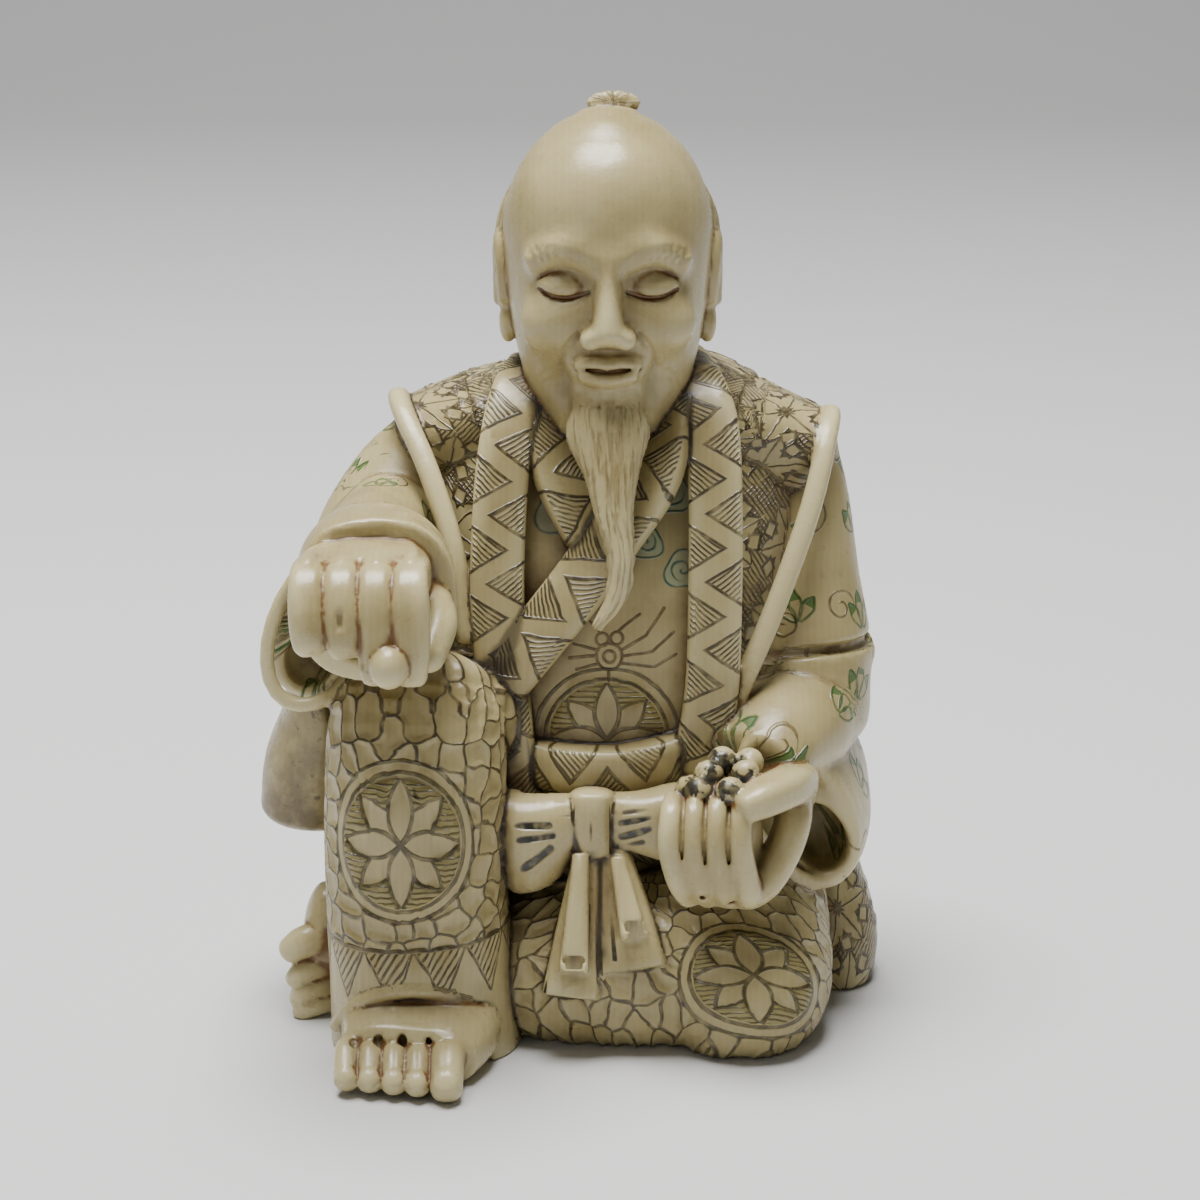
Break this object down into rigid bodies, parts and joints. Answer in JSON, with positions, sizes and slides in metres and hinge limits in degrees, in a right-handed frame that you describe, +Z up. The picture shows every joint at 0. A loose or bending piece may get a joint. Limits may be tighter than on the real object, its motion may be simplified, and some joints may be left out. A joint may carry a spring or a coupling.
{
  "type": "okimono",
  "caption": "Small carved ivory-coloured figure of a seated old man in patterned robes, shown on a shelf or desk; it stands on its flat underside.",
  "frame": {"origin": "on the floor plane, under the middle of the figure's box", "axes": "+Z up, the figure faces -Y, its own right side is at -X"},
  "size_m": [0.0572, 0.0586, 0.0826],
  "materials": {
    "ivory": "polished ivory with engraved and inked patterns, brown in the recesses"
  },
  "bodies": {
    "root": {"seated_figure": "ivory"}
  },
  "joints": []
}
